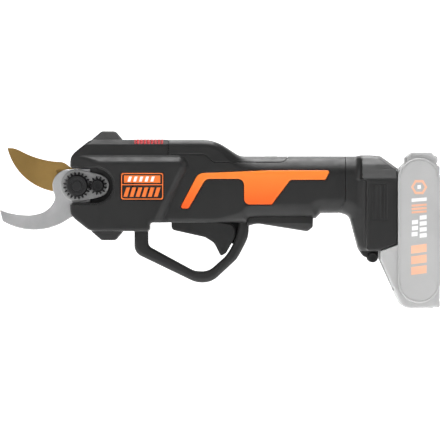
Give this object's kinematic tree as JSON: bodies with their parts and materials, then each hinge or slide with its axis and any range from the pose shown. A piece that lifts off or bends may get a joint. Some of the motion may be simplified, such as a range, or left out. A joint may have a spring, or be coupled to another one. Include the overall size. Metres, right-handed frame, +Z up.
{
  "type": "battery electric pruner",
  "caption": "Cordless bypass pruner: a hook blade and a driven blade, motor housing, guarded trigger, straight grip and a slide-on battery.",
  "frame": {"origin": "centre of the whole tool's bounding box with the blades open", "axes": "+X back along the tool from the blades to the battery, +Y to the tool's right side, +Z up"},
  "size_m": [0.34, 0.08, 0.137],
  "materials": {
    "housing_plastic": "satin moulded",
    "soft_grip": "fine texture",
    "orange_trim": "satin",
    "nameplate": "printed bars",
    "red_badge": "ribbed",
    "black_plastic": "satin",
    "lens": "clear",
    "screw_steel": "zinc",
    "blade_steel": "ground",
    "gold_blade": "titanium nitride coating",
    "lock_steel": "stamped",
    "dark_steel": "black oxide",
    "gear_steel": "hardened",
    "cast_aluminium": "cast",
    "ring_steel": "turned",
    "bronze": "sintered",
    "copper": "enamelled windings",
    "board_green": "solder mask",
    "wire_red": "insulation",
    "spring_steel": "drawn",
    "contact_metal": "plated",
    "pack_plastic": "satin moulded",
    "pack_panel": "satin moulded",
    "cell_wrap": "shrink wrap",
    "release_plastic": "satin"
  },
  "bodies": {
    "base": {"left_shell": "housing_plastic", "right_shell": "housing_plastic", "left_foot_shell": "housing_plastic", "right_foot_shell": "housing_plastic", "top_cover": "soft_grip", "lower_grip": "soft_grip", "left_trim": "orange_trim", "right_trim": "orange_trim", "left_nameplate": "nameplate", "right_nameplate": "nameplate", "top_badge": "red_badge", "front_bumpers": "soft_grip", "indicator_lens": "lens", "lanyard_pin": "black_plastic", "housing_screws": "screw_steel", "foot_screws": "screw_steel", "fixed_blade": "blade_steel", "pivot_bolt": "dark_steel", "lock_plate": "lock_steel", "adjuster_screw": "dark_steel", "gear_head": "cast_aluminium", "gear_head_screws": "screw_steel", "pinion_bearings": "gear_steel", "ring_gear": "ring_steel", "motor_stator": "copper", "motor_can": "ring_steel", "motor_end_plates": "cast_aluminium", "controller_board": "board_green", "controller_parts": "black_plastic", "motor_leads": "wire_red", "battery_leads": "wire_red", "trigger_pin": "gear_steel", "trigger_spring": "spring_steel", "trigger_sensor": "board_green", "terminal_block": "black_plastic", "terminal_blades": "contact_metal"},
    "cutter": {"moving_blade": "gold_blade", "bevel_sector": "gear_steel", "sector_rivets": "gear_steel"},
    "drive_pinion": {"bevel_pinion": "gear_steel", "output_carrier": "gear_steel"},
    "output_planet_a": {"output_planet_1": "bronze"},
    "output_planet_b": {"output_planet_2": "bronze"},
    "output_planet_c": {"output_planet_3": "bronze"},
    "middle_carrier": {"input_carrier": "gear_steel"},
    "input_planet_a": {"input_planet_1": "bronze"},
    "input_planet_b": {"input_planet_2": "bronze"},
    "input_planet_c": {"input_planet_3": "bronze"},
    "rotor": {"motor_rotor": "gear_steel"},
    "lock_nut": {"pivot_nut": "dark_steel"},
    "adjuster": {"adjuster_gear": "dark_steel"},
    "trigger": {"trigger": "black_plastic"},
    "power_button": {"power_button": "black_plastic"},
    "pack": {"pack_front_shell": "pack_plastic", "pack_rear_shell": "pack_plastic", "pack_side_panels": "pack_panel", "pack_cells": "cell_wrap", "pack_board": "board_green", "pack_screws": "screw_steel"},
    "release": {"pack_release": "release_plastic"}
  },
  "joints": [
    {"name": "blade_swing", "type": "hinge", "parent": "base", "child": "cutter", "pos_m": [-0.11, 0, 0.026], "axis": [0, -1, 0], "range_deg": [0, 48]},
    {"name": "pinion_spin", "type": "hinge", "parent": "base", "child": "drive_pinion", "pos_m": [-0.088, 0.003, 0.026], "axis": [1, 0, 0], "range_deg": [-173, 0]},
    {"name": "output_planet_a_spin", "type": "hinge", "parent": "drive_pinion", "child": "output_planet_a", "pos_m": [-0.059, 0.0117, 0.026], "axis": [1, 0, 0], "range_deg": [0, 461]},
    {"name": "output_planet_b_spin", "type": "hinge", "parent": "drive_pinion", "child": "output_planet_b", "pos_m": [-0.059, -0.00135, 0.03353], "axis": [1, 0, 0], "range_deg": [0, 461]},
    {"name": "output_planet_c_spin", "type": "hinge", "parent": "drive_pinion", "child": "output_planet_c", "pos_m": [-0.059, -0.00135, 0.01847], "axis": [1, 0, 0], "range_deg": [0, 461]},
    {"name": "middle_carrier_spin", "type": "hinge", "parent": "base", "child": "middle_carrier", "pos_m": [-0.054, 0.003, 0.026], "axis": [1, 0, 0], "range_deg": [-865, 0]},
    {"name": "input_planet_a_spin", "type": "hinge", "parent": "middle_carrier", "child": "input_planet_a", "pos_m": [-0.049, 0.0117, 0.026], "axis": [1, 0, 0], "range_deg": [0, 2305]},
    {"name": "input_planet_b_spin", "type": "hinge", "parent": "middle_carrier", "child": "input_planet_b", "pos_m": [-0.049, -0.00135, 0.03353], "axis": [1, 0, 0], "range_deg": [0, 2305]},
    {"name": "input_planet_c_spin", "type": "hinge", "parent": "middle_carrier", "child": "input_planet_c", "pos_m": [-0.049, -0.00135, 0.01847], "axis": [1, 0, 0], "range_deg": [0, 2305]},
    {"name": "rotor_spin", "type": "hinge", "parent": "base", "child": "rotor", "pos_m": [-0.026, 0.003, 0.026], "axis": [1, 0, 0], "range_deg": [-4321, 0]},
    {"name": "lock_nut_turn", "type": "hinge", "parent": "base", "child": "lock_nut", "pos_m": [-0.11, -0.016, 0.026], "axis": [0, -1, 0], "range_deg": [0, 180]},
    {"name": "adjuster_turn", "type": "hinge", "parent": "base", "child": "adjuster", "pos_m": [-0.094, -0.016, 0.026], "axis": [0, -1, 0], "range_deg": [-277, 0]},
    {"name": "trigger_pull", "type": "hinge", "parent": "base", "child": "trigger", "pos_m": [-0.034, 0, 0.0018], "axis": [0, -1, 0], "range_deg": [0, 10], "stiffness_Nm_per_rad": 0.4, "springref_deg": -17.19, "deforming": ["trigger_spring"]},
    {"name": "power_button_push", "type": "slide", "parent": "base", "child": "power_button", "axis": [0, 0, -1], "range_m": [0, 0.0008], "stiffness_N_per_m": 400, "springref_m": -0.0015},
    {"name": "battery_slide", "type": "slide", "parent": "base", "child": "pack", "axis": [0, 0, -1], "range_m": [0, 0.06]},
    {"name": "release_press", "type": "slide", "parent": "pack", "child": "release", "axis": [0.9112, 0, 0.4121], "range_m": [0, 0.0018], "stiffness_N_per_m": 400, "springref_m": -0.002}
  ],
  "couplings": [
    {"joint": "pinion_spin", "follows": "blade_swing", "ratio": -3.6},
    {"joint": "output_planet_a_spin", "follows": "blade_swing", "ratio": 9.6},
    {"joint": "output_planet_b_spin", "follows": "blade_swing", "ratio": 9.6},
    {"joint": "output_planet_c_spin", "follows": "blade_swing", "ratio": 9.6},
    {"joint": "middle_carrier_spin", "follows": "blade_swing", "ratio": -18},
    {"joint": "input_planet_a_spin", "follows": "blade_swing", "ratio": 48},
    {"joint": "input_planet_b_spin", "follows": "blade_swing", "ratio": 48},
    {"joint": "input_planet_c_spin", "follows": "blade_swing", "ratio": 48},
    {"joint": "rotor_spin", "follows": "blade_swing", "ratio": -90},
    {"joint": "adjuster_turn", "follows": "lock_nut_turn", "ratio": -1.5385}
  ]
}
